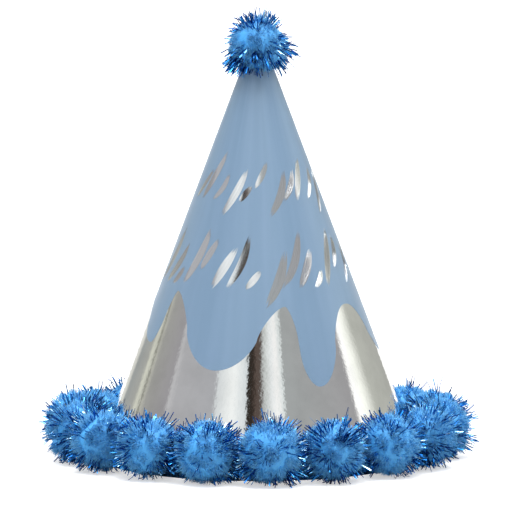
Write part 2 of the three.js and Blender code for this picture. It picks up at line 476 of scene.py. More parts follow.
@dataclass(frozen=True)
class DyedFibre:
    """Crimped polyester fibre, dyed in the mass.

    Its colour along each fibre holds painted shade and painted light: deep in the ball it is saturated and
    dark, as painted shade, and towards the tips it turns pale, as painted light where light scatters between
    the fibres. A soft sheen lies over the whole ball.
    Lots differ a little from fibre to fibre.
    """

    # root, middle and tip: the dye's blue with painted shade at the root and painted light towards the tip
    root: str = "1a72cb"
    middle: str = "3997d9"
    tip: str = "5fa5d5"
    bloom: str = "9ccdf6"  # colour of the sheen
    lots: float = 40.0  # how many dye lots are mixed
    uneven: float = 0.12  # how much lighter or darker a lot may be

    def material(self) -> bpy.types.Material:
        """Paints shade at each fibre's root and light at its tip, and sets neighbours apart by a shade."""
        material, tree = new_material("blue_polyester_fibre")
        sheet = add_node(tree, "ShaderNodeUVMap", uv_map=STRAND_MAP).outputs["UV"]
        parts = add_node(tree, "ShaderNodeSeparateXYZ", {"Vector": sheet})
        # painted shade at the root, deep in the ball, and painted light towards the tip
        along = add_node(
            tree,
            "ShaderNodeValToRGB",
            {"Fac": parts.outputs["X"]},
            stops={0.15: linear(self.root), 0.55: linear(self.middle), 1.0: linear(self.tip)},
        )
        lot = add_node(
            tree, "ShaderNodeTexNoise", {"W": parts.outputs["Y"], "Scale": self.lots}, noise_dimensions="1D"
        )
        shade = add_node(
            tree,
            "ShaderNodeMapRange",
            {
                "Value": lot.outputs["Fac"],
                "From Min": 0.3,
                "From Max": 0.7,
                "To Min": 1 - self.uneven,
                "To Max": 1 + self.uneven,
            },
        )
        colour = add_node(
            tree,
            "ShaderNodeHueSaturation",
            {"Value": shade.outputs["Result"], "Color": along.outputs["Color"]},
        )
        shader = add_node(
            tree,
            "ShaderNodeBsdfPrincipled",
            {
                "Base Color": colour.outputs["Color"],
                "Roughness": 0.65,
                "IOR": 1.57,
                "Specular IOR Level": 0.35,
                "Sheen Weight": 0.5,
                "Sheen Roughness": 0.4,
                "Sheen Tint": linear(self.bloom),
            },
        )
        show(tree, shader)
        return material


@dataclass(frozen=True)
class TinselFilm:
    """Blue lacquered metallised film, slit into strips.

    Each strip is a small coloured mirror. It flashes pale blue where it catches a lamp and goes navy where it
    doesn't, and its lacquer shifts a little to cyan or violet from strip to strip. Its cyan and silver
    patches are partly that shift and partly painted glints.
    """

    navy: str = "1b5c9e"
    royal: str = "2b80ca"
    # cyan: partly the lacquer's shift and partly a painted glint
    cyan: str = "5fbdec"
    # silver: a painted glint, the palest colour that a patch of a strip is given
    silver: str = "dff3fd"
    shift: float = 0.6 * MM  # length of the patches along a strip where the colour shifts
    lots: float = 90.0  # how many kinds of strip there are
    mirror: float = 0.14  # roughness of the lacquer

    def material(self) -> bpy.types.Material:
        """Colours strip by strip, with painted glints in the palest patches and painted shade darkening each
        root inside the ball.
        """
        material, tree = new_material("blue_tinsel_film")
        sheet = add_node(tree, "ShaderNodeUVMap", uv_map=STRAND_MAP).outputs["UV"]
        parts = add_node(tree, "ShaderNodeSeparateXYZ", {"Vector": sheet})
        patches = add_node(
            tree, "ShaderNodeMapping", {"Vector": sheet, "Scale": (Pompom.fluff / self.shift, self.lots, 1.0)}
        )
        shifts = add_node(
            tree,
            "ShaderNodeTexNoise",
            {"Vector": patches.outputs["Vector"], "Scale": 1.0, "Detail": 1.0},
            noise_dimensions="2D",
        )
        lot = add_node(tree, "ShaderNodeMath", {0: shifts.outputs["Fac"], 1: 0.5}, operation="SUBTRACT")
        tone = add_node(
            tree,
            "ShaderNodeMath",
            {0: lot.outputs[0], 1: 0.7, 2: parts.outputs["Y"]},
            operation="MULTIPLY_ADD",
        )
        # the cyan and silver patches are partly the lacquer's shift and partly painted glints
        strip = add_node(
            tree,
            "ShaderNodeValToRGB",
            {"Fac": tone.outputs[0]},
            stops={
                0.45: linear(self.navy),
                0.68: linear(self.royal),
                0.88: linear(self.cyan),
                0.98: linear(self.silver),
            },
        )
        # painted shade: each strip is darker towards its root inside the ball
        depth = add_node(
            tree, "ShaderNodeMapRange", {"Value": parts.outputs["X"], "To Min": 0.5, "To Max": 1.1}
        )
        colour = add_node(
            tree,
            "ShaderNodeHueSaturation",
            {"Value": depth.outputs["Result"], "Color": strip.outputs["Color"]},
        )
        shader = add_node(
            tree,
            "ShaderNodeBsdfPrincipled",
            {"Base Color": colour.outputs["Color"], "Metallic": 1.0, "Roughness": self.mirror},
        )
        show(tree, shader)
        return material


@dataclass(frozen=True)
class TwistedThread:
    """Two-ply polyester sewing thread: dull, with slanting plies, drawn as fine bars of painted shade in the
    grooves and painted light on the crests.
    """

    # dark is painted shade in the grooves between the plies, light is painted light on their crests
    dark: str = "153f73"
    light: str = "2f6fb4"
    lay: float = 0.5 * MM  # one turn of the plies
    ply_height: float = 0.06 * MM

    def material(self) -> bpy.types.Material:
        """Draws the plies as slanting bands, with painted shade in their grooves and painted light on their
        crests, and raises them.
        """
        material, tree = new_material("twisted_blue_thread")
        place = add_node(tree, "ShaderNodeTexCoord").outputs["Object"]
        plies = add_node(
            tree,
            "ShaderNodeTexWave",
            {"Vector": place, "Scale": 1 / (20 * self.lay) * math.tau, "Distortion": 1.5, "Detail": 2.0},
            bands_direction="DIAGONAL",
        )
        # painted shade in the ply grooves and painted light on the crests, on the same bands as the bump
        colour = add_node(
            tree,
            "ShaderNodeValToRGB",
            {"Fac": plies.outputs["Fac"]},
            stops={0.2: linear(self.dark), 0.8: linear(self.light)},
        )
        bump = add_node(
            tree,
            "ShaderNodeBump",
            {"Height": plies.outputs["Fac"], "Strength": 0.8, "Distance": self.ply_height},
        )
        shader = add_node(
            tree,
            "ShaderNodeBsdfPrincipled",
            {
                "Base Color": colour.outputs["Color"],
                "Roughness": 0.85,
                "IOR": 1.55,
                "Sheen Weight": 0.2,
                "Normal": bump.outputs["Normal"],
            },
        )
        show(tree, shader)
        return material


@dataclass(frozen=True)
class HotMeltGlue:
    """Set hot melt adhesive: milky, slightly yellow, glossy where it cooled free, with small bubbles."""

    milk: str = "ece7d6"
    haze: str = "d8cfae"
    bubble: float = 0.8 * MM
    bubble_height: float = 0.1 * MM
    haze_size: float = 2.5 * MM
    soak: float = 0.5 * MM  # how deep light goes in

    def material(self) -> bpy.types.Material:
        """Hazes the colour round the bubbles, and lets light soak in."""
        material, tree = new_material("hot_melt_glue")
        place = add_node(tree, "ShaderNodeTexCoord").outputs["Object"]
        bubbles = add_node(tree, "ShaderNodeTexVoronoi", {"Vector": place, "Scale": 1 / self.bubble})
        haze = add_node(
            tree, "ShaderNodeTexNoise", {"Vector": place, "Scale": 1 / self.haze_size, "Detail": 3.0}
        )
        colour = add_node(
            tree,
            "ShaderNodeValToRGB",
            {"Fac": haze.outputs["Fac"]},
            stops={0.35: linear(self.haze), 0.65: linear(self.milk)},
        )
        bump = add_node(
            tree,
            "ShaderNodeBump",
            {"Height": bubbles.outputs["Distance"], "Strength": 0.4, "Distance": self.bubble_height},
        )
        shader = add_node(
            tree,
            "ShaderNodeBsdfPrincipled",
            {
                "Base Color": colour.outputs["Color"],
                "Roughness": 0.3,
                "IOR": 1.49,
                "Subsurface Weight": 0.3,
                "Subsurface Scale": self.soak,
                "Normal": bump.outputs["Normal"],
            },
        )
        show(tree, shader)
        return material


# -------------------------------------------------------------------------------------------------------
# The cone
# -------------------------------------------------------------------------------------------------------


class Wall:
    """The line of the rolled wall, which every ply and everything glued to it follows."""

    tip_radius = 3 * MM  # outside radius where the card is cut off below the cone's point
    card = 0.35 * MM
    film_in = 0.08 * MM  # the film's inner and outer faces, outside the card
    film_out = 0.18 * MM
    coat_in = 0.19 * MM
    coat_out = 0.23 * MM
    stroke_in = 0.24 * MM
    stroke_out = 0.27 * MM
    overlap = 12 * MM  # glue tab under the flap, along the rim
    seam_run = 9 * MM  # length, along the rim, over which the wall steps out beside the flap
    glue_line = 0.1 * MM
    flap_margin = 0.6 * MM
    waves = {3: 0.0009, 5: 0.0011, 11: 0.00045}  # out of round: share of the radius, by waves in a turn

    @classmethod
    def rim_radius(cls) -> float:
        """Outside radius of the card at the rim."""
        low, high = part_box("cone_card")
        return (high.x - low.x) / 2

    @classmethod
    def cut_height(cls) -> float:
        """Height of the cut tip."""
        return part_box("cone_card")[1].z

    @classmethod
    def tangent(cls) -> float:
        """Loss of radius for each unit of height."""
        return (cls.rim_radius() - cls.tip_radius) / cls.cut_height()

    @classmethod
    def girth(cls) -> float:
        """Length round the rim."""
        return math.tau * cls.rim_radius()

    @classmethod
    def length(cls) -> float:
        """Length of the wall from the rim to the cut tip."""
        return cls.cut_height() / math.cos(math.atan(cls.tangent()))

    @classmethod
    def radius(cls, height: np.ndarray, above: np.ndarray | float = 0.0) -> np.ndarray:
        """Radius at a height, at a depth outside the card's outer face."""
        return cls.rim_radius() - height * cls.tangent() + above / math.cos(math.atan(cls.tangent()))

    @classmethod
    def tab_turn(cls) -> float:
        """Angle of the glue tab."""
        return cls.overlap / cls.rim_radius()

    @classmethod
    def ply_start(cls) -> float:
        """Turn at which the film and the coat start, beside the flap's edge."""
        return cls.tab_turn() + cls.flap_margin / cls.rim_radius()

    @classmethod
    def flap_edge(cls) -> float:
        """Turn at which every ply ends."""
        return math.tau + cls.tab_turn()

    @classmethod
    def azimuth(cls, turn: np.ndarray) -> np.ndarray:
        """Azimuth of a turn angle, from the front towards +X. The middle of the seam is at the back."""
        return math.pi - cls.tab_turn() / 2 + turn

    @classmethod
    def seam_depth(cls, turn: np.ndarray) -> np.ndarray:
        """How far inside the cone the wall lies under and beside the flap."""
        way = np.clip((turn - cls.tab_turn()) / (cls.seam_run / cls.rim_radius()), 0.0, 1.0)
        return -(cls.card + cls.glue_line) * (1 - way)

    @classmethod
    def roundness(cls, azimuth: np.ndarray) -> np.ndarray:
        """Factor on the radius: rolled card is never quite round."""
        return 1 + sum(share * np.sin(count * azimuth + count) for count, share in cls.waves.items())

    @classmethod
    def on_cone(cls, azimuth: np.ndarray, height: np.ndarray, above: np.ndarray | float) -> np.ndarray:
        """Points of the wall.

        Args:
            azimuth: Angles from the front towards +X.
            height: Heights above the rim.
            above: Distance outside the card's outer face.

        Returns:
            Rows of x, y and z.
        """
        radius = cls.radius(height, above) * cls.roundness(azimuth)
        return np.stack([radius * np.sin(azimuth), -radius * np.cos(azimuth), height], -1)

    @classmethod
    def outside_by(cls, points: np.ndarray) -> np.ndarray:
        """How far points lie outside the film, square to the wall."""
        ring = np.hypot(points[..., 0], points[..., 1])
        return (ring - cls.radius(points[..., 2], cls.film_out)) * math.cos(math.atan(cls.tangent()))


@dataclass(frozen=True)
class Bend:
    """An arch or a drip's tip on the coat's lower edge, and the shape of the side that follows it."""

    azimuth: float  # in degrees
    height: float  # in millimetres
    skew: float = 0.85  # below 1, a drip's side falls away sooner from the arch
    steepness: float = 0.75  # below 1, a drip's side is steeper than a cosine's


@dataclass
class DripEdge:
    """The lower edge of the printed coat, where it seems to run down the cone."""

    bends: tuple = (
        Bend(-90, 58), Bend(-66, 45), Bend(-54, 64.5), Bend(-20, 38), Bend(15.5, 60.5, 0.78, 0.45),
        Bend(28.5, 32, 1.2), Bend(58, 59.5, 1.1), Bend(88, 40), Bend(110, 60), Bend(130, 30), Bend(150, 62),
        Bend(178, 42), Bend(204, 59), Bend(232, 34),
    )

    def height(self, turn: np.ndarray) -> np.ndarray:
        """Height of the edge.

        Args:
            turn: Turn angles.

        Returns:
            The height at each, in metres.
        """
        first = self.bends[0]
        ring = [*self.bends, Bend(first.azimuth + 360, first.height)]
        degrees = (np.degrees(Wall.azimuth(turn)) - first.azimuth) % 360 + first.azimuth
        heights = np.zeros_like(degrees)
        for a, b in zip(ring, ring[1:]):
            arch, tip = (a, b) if a.height > b.height else (b, a)
            inside = (degrees >= a.azimuth) & (degrees <= b.azimuth)
            way = np.clip((degrees - arch.azimuth) / (tip.azimuth - arch.azimuth), 0, 1) ** a.skew
            side = np.cos(math.pi * way)
            shaped = np.sign(side) * np.abs(side) ** a.steepness
            drop = arch.height - tip.height
            heights = np.where(inside, (arch.height + tip.height) / 2 + shaped * drop / 2, heights)
        return heights * MM


@dataclass
class RolledCone:
    """The card, its mirror film and its printed coat: three plies rolled from flat sheets."""

    drips: DripEdge = field(default_factory=DripEdge)
    columns: int = 1080
    rows: int = 12
    hole_radius: float = 1.5 * MM  # for the chin elastic
    hole_height: float = 9 * MM
    crease: float = 35.0  # degrees from which an edge is a cut one

    def ply(
        self,
        name: str,
        start: float,
        inner: float,
        outer: float,
        low: Callable[[np.ndarray], np.ndarray] | None = None,
    ) -> bpy.types.Object:
        """Rolls a flat grid into one ply of the wall and thickens it.

        Args:
            name: Name of the piece.
            start: Turn angle at which the sheet starts. It ends at the flap's edge.
            inner: Its inner face, outside the card's outer face.
            outer: Its outer face.
            low: Gives the height of its lower edge for each turn angle, or None for a level rim.

        Returns:
            The ply, closed all round.
        """
        deselect_all()
        bpy.ops.mesh.primitive_grid_add(x_subdivisions=self.columns, y_subdivisions=self.rows, size=1.0)
        piece = bpy.context.object
        piece.name = piece.data.name = name
        flat = points_of(piece.data)
        turn = start + (flat[:, 0] + 0.5) * (Wall.flap_edge() - start)
        bottom = low(turn) if low else np.zeros_like(turn)
        height = bottom + (flat[:, 1] + 0.5) * (Wall.cut_height() - bottom)
        depth = outer + Wall.seam_depth(turn)
        move_points(piece.data, Wall.on_cone(Wall.azimuth(turn), height, depth))
        apply_modifier(piece, "SOLIDIFY", thickness=outer - inner, offset=-1.0, use_even_offset=True)
        points = points_of(piece.data)
        points[:, 2] = np.clip(points[:, 2], 0, Wall.cut_height())  # both rims are cut level
        move_points(piece.data, points)
        return piece

    def punch(self, piece: bpy.types.Object) -> None:
        """Punches the two elastic holes, in the gaps between rim pompoms that are nearest to the sides.

        Args:
            piece: The ply.
        """
        pompoms = sorted(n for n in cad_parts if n.startswith("rim_pompom_tie_"))
        pitch = math.tau / len(pompoms)
        low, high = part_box(pompoms[0])
        middle = (low + high) / 2
        first = math.atan2(middle.x, -middle.y)
        gap = first + (round((math.pi / 2 - first) / pitch - 0.5) + 0.5) * pitch
        for azimuth in (gap, gap + math.pi):
            radius = float(Wall.radius(self.hole_height))
            place = (radius * math.sin(azimuth), -radius * math.cos(azimuth), self.hole_height)
            deselect_all()
            bpy.ops.mesh.primitive_cylinder_add(
                vertices=32,
                radius=self.hole_radius,
                depth=6 * self.hole_radius,
                location=place,
                rotation=(math.pi / 2 + math.atan(Wall.tangent()), 0, azimuth),
            )
            punch = bpy.context.object
            apply_modifier(piece, "BOOLEAN", operation="DIFFERENCE", object=punch, solver="EXACT")
            bpy.data.objects.remove(punch)

    def smooth(self, piece: bpy.types.Object) -> None:
        """Shades the rolled faces smooth and keeps the cut edges sharp."""
        pick(piece)
        bpy.ops.object.shade_smooth_by_angle(angle=math.radians(self.crease))

    def build(self) -> None:
        """Makes and dresses the three plies."""
        card = self.ply("rolled_card", 0.0, -Wall.card, 0.0)
        self.punch(card)
        self.smooth(card)
        finish_piece(card, FoldingBoard().material(), ("cone_card",))
        film = self.ply("mirror_film", Wall.ply_start(), Wall.film_in, Wall.film_out)
        self.punch(film)
        self.smooth(film)
        finish_piece(film, MirrorFilm().material(), ("foil_laminate",))
        coat = self.ply("drip_coat", Wall.ply_start(), Wall.coat_in, Wall.coat_out, self.drips.height)
        self.smooth(coat)
        finish_piece(coat, PrintedCoat().material(), ("printed_drip_coat",))


# -------------------------------------------------------------------------------------------------------
# Things that repeat along a line: fibres, tinsel strips and bristle marks
# -------------------------------------------------------------------------------------------------------


class Section(Enum):
    """The section of a strand."""

    ROUND = "three sided, tapering to its tip"
    FLAT = "four sided, of one width"


class Strand:
    """One strand, modelled once along +Z from 0 to 1 with a half width of about 1, and laid many times."""

    def __init__(self, section: Section, steps: int) -> None:
        """Models the strand with a few cuts along it.

        Args:
            section: Its section.
            steps: How many stretches it has between its ends.
        """
        deselect_all()
        if section is Section.ROUND:
            bpy.ops.mesh.primitive_cone_add(vertices=3, radius1=1, radius2=0.3, depth=1, location=(0, 0, 0.5))
        else:
            bpy.ops.mesh.primitive_cube_add(size=1, location=(0, 0, 0.5), scale=(2, 2, 1))
        model = bpy.context.object
        bpy.ops.object.transform_apply(location=True, rotation=True, scale=True)
        bpy.ops.object.mode_set(mode="EDIT")
        for cut in range(1, steps):
            bpy.ops.mesh.select_all(action="SELECT")
            bpy.ops.mesh.bisect(plane_co=(0, 0, cut / steps), plane_no=(0, 0, 1))
        bpy.ops.object.mode_set(mode="OBJECT")
        points = points_of(model.data)
        self.section, self.steps = section, steps
        self.level = np.rint(points[:, 2] * steps).astype(int)
        self.across = points[:, :2]
        self.faces = [list(face.vertices) for face in model.data.polygons]
        bpy.data.objects.remove(model)

    def lay(
        self,
        name: str,
        line: np.ndarray,
        side: np.ndarray,
        lift: np.ndarray,
        width: np.ndarray,
        thickness: np.ndarray,
        lot: np.ndarray,
    ) -> bpy.types.Object:
        """Lays one copy of the strand along each line, all in one mesh.

        Args:
            name: Name of the object.
            line: Points along each line, as copies by levels by 3.
            side: Unit vectors across each line, of the same shape.
            lift: Unit vectors square to both.
            width: Half widths, as copies by levels.
            thickness: Half thicknesses, as copies by levels.
            lot: A number from 0 to 1 for each copy, which its colour is drawn at.

        Returns:
            The object, with the strand map: along each strand in u, and its lot in v.
        """
        count, size = len(line), len(self.level)
        x = self.across[:, 0][None, :, None] * width[:, self.level, None]
        y = self.across[:, 1][None, :, None] * thickness[:, self.level, None]
        points = line[:, self.level] + side[:, self.level] * x + lift[:, self.level] * y
        corners = np.concatenate([np.array(face) for face in self.faces])
        lengths = np.array([len(face) for face in self.faces])
        starts = np.concatenate([[0], np.cumsum(lengths)[:-1]])
        loops = (corners[None] + size * np.arange(count)[:, None]).ravel()
        mesh = bpy.data.meshes.new(name)
        mesh.vertices.add(count * size)
        mesh.loops.add(len(loops))
        mesh.polygons.add(count * len(lengths))
        mesh.vertices.foreach_set("co", points.astype(np.float32).ravel())
        mesh.loops.foreach_set("vertex_index", loops.astype(np.int32))
        begun = (starts[None] + len(corners) * np.arange(count)[:, None]).ravel()
        mesh.polygons.foreach_set("loop_start", begun.astype(np.int32))
        mesh.update(calc_edges=True)
        mesh.validate()
        if self.section is Section.FLAT:
            mesh.shade_flat()
        along = self.level[corners] / self.steps
        spread = 0.02 * self.across[corners, 0]  # so that no face is a line on the map
        tilt = 0.03 * self.across[corners, 1]
        u = np.clip(0.04 + 0.92 * along + tilt, 0, 1)
        v = np.clip(0.03 + 0.94 * lot[:, None] + spread[None], 0, 1)
        uv = np.stack([np.broadcast_to(u, v.shape), v], -1)
        mesh.uv_layers.new(name=STRAND_MAP).data.foreach_set("uv", uv.astype(np.float32).ravel())
        piece = bpy.data.objects.new(name, mesh)
        bpy.context.scene.collection.objects.link(piece)
        return piece


# -------------------------------------------------------------------------------------------------------
# Foil brush strokes on the coat
# -------------------------------------------------------------------------------------------------------


@dataclass(frozen=True)
class Dab:
    """One leaf-shaped dab of the brush. Lengths are shares of the row's height."""

    lean: float  # degrees from upright, towards +X
    low: float
    high: float
    fullness: float = 1.0


class Mark(Enum):
    """The kinds of dab in a row."""

    TALL = Dab(21, -0.5, 0.9, 1.1)
    LEAF = Dab(27, -0.5, 0.45)
    LONG = Dab(23, -0.95, 0.5, 1.1)
    SEED = Dab(34, -0.5, -0.05, 0.85)
    HIGH = Dab(24, -0.1, 0.7, 0.9)


@dataclass
class BrushRow:
    """A row of abstract leaf-shaped marks that a dry flat brush would leave, stamped in foil on the coat."""

    name: str
    middle_height: float
    first: float  # azimuth of the first mark, in degrees
    last: float
    pitch: float  # spacing of the marks along the wall
    body: float  # height of the row
    stroke: float  # width of a dab at its fullest
    order: tuple
    seed: int
    bristles: int = 6
    overlap: float = 0.004 * MM  # how far each bristle's line lies over the one before

    def lay_dab(
        self, rng: np.random.Generator, dab: Dab, across: float, levels: np.ndarray, out: dict
    ) -> None:
        """Lays one dab as bristle lines that part towards its dry end.

        Args:
            rng: Source of its small differences.
            dab: Its lean and size.
            across: Distance of its foot along the wall.
            levels: Shares of its length at which each line has a point.
            out: The lists that its lines are added to.
        """
        radius = float(Wall.radius(self.middle_height, Wall.coat_out))
        lean = math.radians(dab.lean + rng.uniform(-3, 3))
        length = self.body * (dab.high - dab.low) * rng.uniform(0.9, 1.08) / math.cos(lean)
        bow = rng.uniform(-0.03, 0.09) * length
        full = self.stroke * dab.fullness * rng.uniform(0.85, 1.1)
        for bristle in range(self.bristles):
            place = (bristle + 0.5) / self.bristles - 0.5
            begin, end = rng.uniform(0, 0.1), 1 - rng.uniform(0, 0.14)
            way = begin + (end - begin) * levels
            swell = np.sin(math.pi * np.clip(0.06 + 0.88 * way, 0, 1)) ** 0.75
            side = bow * np.sin(math.pi * way) + place * full * swell
            right = length * way * math.sin(lean) + side * math.cos(lean)
            up = self.body * dab.low + length * way * math.cos(lean) - side * math.sin(lean)
            height = self.middle_height + up * math.cos(math.atan(Wall.tangent()))
            azimuth = (across + right) / radius
            middle = (Wall.stroke_in + Wall.stroke_out) / 2 + self.overlap * bristle
            point = Wall.on_cone(azimuth, height, middle)
            lift = unit(Wall.on_cone(azimuth, height, middle + 1 * MM) - point)
            out["line"].append(point)
            out["side"].append(unit(np.cross(unit(np.gradient(point, axis=0)), lift)))
            out["lift"].append(lift)
            dry = np.clip((way - 0.6) / 0.4, 0, 1) * rng.uniform(0.2, 0.9)
            taper = np.clip(np.minimum(levels, 1 - levels) * 8, 0.12, 1)
            full_line = 0.5 * full / self.bristles * (1.12 - 0.6 * dry)
            out["width"].append(full_line * taper * (0.25 + 0.75 * swell))

    def build(self, material: bpy.types.Material, strand: Strand) -> None:
        """Lays the row's marks in turn.

        Args:
            material: The stamped foil.
            strand: A flat strand with enough steps for a bowed line.
        """
        rng = np.random.default_rng(self.seed)
        radius = float(Wall.radius(self.middle_height, Wall.coat_out))
        first, reach = math.radians(self.first) * radius, math.radians(self.last - self.first) * radius
        levels = np.linspace(0, 1, strand.steps + 1)
        out = {"line": [], "side": [], "lift": [], "width": []}
        for i, mark in zip(range(int(reach / self.pitch) + 1), cycle(self.order)):
            across = first + (i + rng.uniform(-0.08, 0.08)) * self.pitch
            self.lay_dab(rng, mark.value, across, levels, out)
        width = np.array(out["width"])
        depth = np.full_like(width, (Wall.stroke_out - Wall.stroke_in) / 2)
        lot = rng.uniform(0, 1, len(width))
        lines = [np.array(out[part]) for part in ("line", "side", "lift")]
        piece = strand.lay(self.name, *lines, width, depth, lot)
        finish_piece(piece, material)


# -------------------------------------------------------------------------------------------------------
# Pompoms
# -------------------------------------------------------------------------------------------------------


@dataclass
class Pompom:
    """A ball of cut fibre tied at its middle, with tinsel strips through it."""

    name: str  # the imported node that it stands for
    core: np.ndarray
    seed: int
    neighbours: tuple = ()  # unit vectors towards the pompoms beside it
    half_gap: float = 1.0  # distance to the plane halfway to them
    on_floor: bool = True
    fluff: float = 11.1 * MM  # where most fibres end
    fibres: int = 4600
    strips: int = 520
    bundles: int = 60
    tufts: int = 60
    strays: int = 6
    sag: tuple = (0.0, 0.0, 0.0)  # how far the ball has slumped from its tie
    squat: float = 1.0  # its height, as a share of its width
    droop: float = 0.0  # how far its outermost fibres hang, as a share of its size
    combed: tuple = ()  # directions that bundles of strips were combed into
    clear: float = 0.35 * MM  # how far a strand's line stays clear of what it meets
    ball_clear: float = 0.6 * MM
    mingle: float = 0.6 * MM  # how far strands reach into the pompom beside them before they are pressed
    give: float = 0.8  # how much of the rest is pressed back
    wall_room: float = 0.25 * MM  # over the film, for the printed coat and its strokes

    def press(self, points: np.ndarray, clearance: float) -> np.ndarray:
        """Pushes points back to the near side of the surface below, the wall and the neighbours.

        Args:
            points: Rows of x, y and z, in any shape.
            clearance: How far they stay clear of what they meet.

        Returns:
            The pressed points.
        """
        out = points.copy()
        for towards in self.neighbours:
            past = (out - self.core) @ towards - (self.half_gap + self.mingle)
            out -= self.give * np.maximum(past, 0)[..., None] * towards
        short = clearance + self.wall_room - Wall.outside_by(out)
        ring = np.hypot(out[..., 0], out[..., 1])[..., None]
        flat = np.concatenate([out[..., :2] / np.maximum(ring, 1e-9), np.zeros_like(ring)], -1)
        tilt = math.atan(Wall.tangent())
        away = flat * math.cos(tilt) + np.array([0, 0, math.sin(tilt)])
        out += np.maximum(short, 0)[..., None] * away
        if self.on_floor:
            out[..., 2] = np.maximum(out[..., 2], clearance)
        return out

    def slump(self, aim: np.ndarray, reach: np.ndarray) -> np.ndarray:
        """Places points that lie so far out in their directions, on the slumped ball.

        Args:
            aim: Unit vectors from the core.
            reach: How far out each lies.

        Returns:
            The points.
        """
        out = self.core + np.array(self.sag) + aim * reach * (1.0, 1.0, self.squat)
        out[..., 2] -= self.droop * np.sum((out - self.core)[..., :2] ** 2, axis=-1) / self.fluff
        return out

    def bundle_aims(self) -> np.ndarray:
        """Aims the bundles of strips.

        Returns:
            Their directions from the core.
        """
        rng = np.random.default_rng(self.seed + 900)
        aims = self.directions(rng, self.bundles)
        for i, towards in enumerate(self.neighbours * 3):  # strips that were pushed into the gaps beside it
            aims[i] = unit(towards + rng.normal(scale=0.3, size=3) - (0, 0, 0.45))
        for i, towards in enumerate(self.combed):
            aims[i] = unit(np.array(towards) + rng.normal(scale=0.1, size=3))
        return aims

    def parting(self, aim: np.ndarray) -> np.ndarray:
        """How far the fluff gives way to a bundle of strips in each direction, from 0 to 1."""
        nearness = np.max(aim @ self.bundle_aims().T, axis=1)
        return np.clip((nearness - 0.95) / 0.04, 0, 1) ** 1.5

    def directions(self, rng: np.random.Generator, count: int) -> np.ndarray:
        """Random directions, evenly spread over the ball."""
        return unit(rng.normal(size=(count, 3)))

    def strands(
        self,
        rng: np.random.Generator,
        aim: np.ndarray,
        tip_aim: np.ndarray,
        root: float,
        tip: np.ndarray,
        steps: int,
        twist: float = 0.0,
    ) -> tuple[np.ndarray, np.ndarray, np.ndarray]:
        """The lines of many strands that run out from the core.

        Args:
            rng: Source of their small differences.
            aim: The direction that each sets out in.
            tip_aim: The direction that it ends in.
            root: Radius at which they start.
            tip: Radius at which each ends.
            steps: Stretches in a line.
            twist: How far a strand may turn about itself from its root to its tip.

        Returns:
            The lines, the unit vectors across them and those square to both.
        """
        way = np.linspace(0, 1, steps + 1)[None, :, None]
        heading = unit(aim[:, None] + (tip_aim - aim)[:, None] * way**1.4)
        reach = root + (tip[:, None, None] - root) * way
        line = self.press(self.slump(heading, reach), self.clear)
        along = unit(np.gradient(line, axis=1))
        chance = unit(rng.normal(size=(len(aim), 1, 3)))
        side = unit(np.cross(along, np.broadcast_to(chance, along.shape)))
        lift = np.cross(along, side)
        turn = way * rng.uniform(-twist, twist, (len(aim), 1, 1))
        return line, side * np.cos(turn) + lift * np.sin(turn), lift * np.cos(turn) - side * np.sin(turn)

    def build_fluff(self, fibre: Strand) -> bpy.types.Object:
        """Lays the fibres in tufts round a soft inner ball, and joins the two.

        Args:
            fibre: The strand that stands for a lock of fibres.

        Returns:
            The fluff.
        """
        rng = np.random.default_rng(self.seed)
        aim = self.directions(rng, self.fibres)
        centres = self.directions(rng, self.tufts)
        nearest = np.argmax(aim @ centres.T, axis=1)
        pull = rng.uniform(0.25, 0.6, (self.fibres, 1))
        tip_aim = unit(aim + (centres[nearest] - aim) * pull + rng.normal(scale=0.06, size=aim.shape))
        fullness = rng.normal(scale=0.035, size=self.tufts)[nearest]
        uneven = rng.normal(scale=0.035, size=self.fibres)
        tip = self.fluff * (1.01 + fullness + uneven - 0.07 * self.parting(aim))
        line, side, lift = self.strands(rng, aim, tip_aim, 0.7 * self.fluff, tip, fibre.steps)
        # Real fibres are 0.03 mm across and stick together in locks, so a strand stands for a lock.
        width = np.repeat(rng.uniform(0.14, 0.24, (self.fibres, 1)) * MM, fibre.steps + 1, 1)
        lot = rng.uniform(0, 1, self.fibres)
        fluff = fibre.lay(self.name + "_fluff", line, side, lift, width, width, lot)
        pick(self.build_ball(rng), fluff)
        bpy.ops.object.join()
        bpy.ops.object.shade_smooth()
        return fluff

    def build_ball(self, rng: np.random.Generator) -> bpy.types.Object:
        """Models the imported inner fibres, as a lumpy ball that closes the gaps between the outer ones.

        Args:
            rng: Source of its lumps.

        Returns:
            The ball.
        """
        deselect_all()
        bpy.ops.mesh.primitive_ico_sphere_add(subdivisions=4, radius=1.0, calc_uvs=False)
        ball = bpy.context.object
        aim = unit(points_of(ball.data))
        centres = self.directions(rng, self.tufts)
        lumps = np.max(aim @ centres.T, axis=1)
        reach = self.fluff * (0.86 + 0.7 * (lumps - 0.95) + rng.normal(scale=0.018, size=len(aim)))
        reach -= 0.05 * self.fluff * self.parting(aim)
        move_points(ball.data, self.press(self.slump(aim, reach[:, None]), self.ball_clear))
        # The ball takes the fibres' pale middle-to-tip colours, painted light that keeps the gaps between
        # fibres from looking shaded. It turns paler towards +X.
        corners = np.empty(len(ball.data.loops), np.int32)
        ball.data.loops.foreach_get("vertex_index", corners)
        around = 0.5 + 0.45 * aim[corners]
        uv = np.stack([0.55 + 0.25 * around[:, 0], around[:, 1]], -1)
        ball.data.uv_layers.new(name=STRAND_MAP).data.foreach_set("uv", uv.astype(np.float32).ravel())
        return ball

